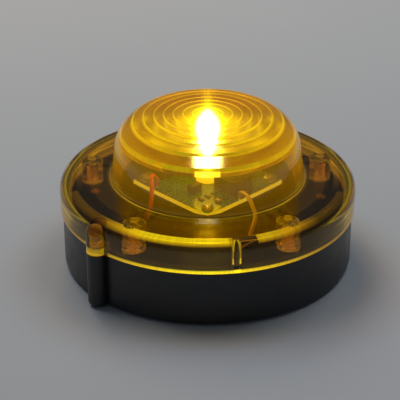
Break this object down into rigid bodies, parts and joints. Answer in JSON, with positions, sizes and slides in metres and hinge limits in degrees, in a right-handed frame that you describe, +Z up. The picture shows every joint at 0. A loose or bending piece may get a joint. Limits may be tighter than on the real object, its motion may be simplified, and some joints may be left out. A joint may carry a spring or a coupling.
{
  "type": "road flare",
  "caption": "Round battery LED road flare: clear amber domed lens unit that twists off a black magnetic base, with an index lug across the seam.",
  "frame": {"origin": "centre of the base on the floor, where the rubber foot ring stands", "axes": "+Z up along the axis of the puck; -Y is the front, with the index lug at 45 degrees towards -X"},
  "size_m": [0.1, 0.1, 0.0534],
  "materials": {
    "amber_plastic": "clear amber moulded polycarbonate",
    "black_plastic": "semi-gloss black ABS",
    "grey_plastic": "matt dark grey moulding",
    "black_rubber": "matt rubber",
    "zinc_steel": "bright zinc plate",
    "nickel_steel": "bright nickel plate",
    "tinned_metal": "tinned",
    "green_board": "glossy solder mask on glass epoxy",
    "white_nylon": "natural nylon",
    "capacitor_sleeve": "shrunk sleeve on an aluminium can",
    "ferrite": "pressed ferrite with lacquer",
    "chip_epoxy": "moulded epoxy",
    "tan_ceramic": "fired ceramic with tinned ends",
    "red_wire": "soft insulation",
    "pale_wire": "soft insulation",
    "spring_bronze": "rolled phosphor bronze",
    "rivet_brass": "turned brass",
    "magnet_ferrite": "ground ferrite",
    "cell_jacket": "printed sleeve with no marks",
    "led_epoxy": "clear epoxy, lit from inside"
  },
  "bodies": {
    "base_unit": {"base_shell": "black_plastic", "foot_ring": "black_rubber", "magnet": "magnet_ferrite", "magnet_cup": "zinc_steel", "magnet_retainer": "black_plastic", "retainer_screws": "zinc_steel", "battery_tray": "grey_plastic", "tray_screws": "zinc_steel", "battery_1": "cell_jacket", "battery_2": "cell_jacket", "battery_3": "cell_jacket", "contact_spring_1": "nickel_steel", "contact_spring_2": "nickel_steel", "contact_spring_3": "nickel_steel", "left_contact_link": "nickel_steel", "right_contact_link": "nickel_steel", "positive_terminal": "nickel_steel", "negative_terminal": "nickel_steel"},
    "lens_unit": {"lens": "amber_plastic", "deck": "black_plastic", "seal_ring": "black_rubber", "lens_screws": "zinc_steel", "circuit_board": "green_board", "board_screws": "zinc_steel", "led_spacer": "white_nylon", "main_led": "led_epoxy", "led_leads": "tinned_metal", "storage_capacitor": "capacitor_sleeve", "boost_inductor": "ferrite", "driver_chip": "chip_epoxy", "flyback_diode": "chip_epoxy", "timing_crystal": "tinned_metal", "chip_resistors": "chip_epoxy", "chip_capacitors": "tan_ceramic", "positive_wire": "red_wire", "negative_wire": "pale_wire", "positive_leaf": "spring_bronze", "negative_leaf": "spring_bronze", "leaf_rivets": "rivet_brass"}
  },
  "joints": [
    {"name": "lens_turn", "type": "hinge", "parent": "base_unit", "child": "lens_unit", "pos_m": [0, 0, 0.0195], "axis": [0, 0, 1], "range_deg": [0, 40]}
  ]
}
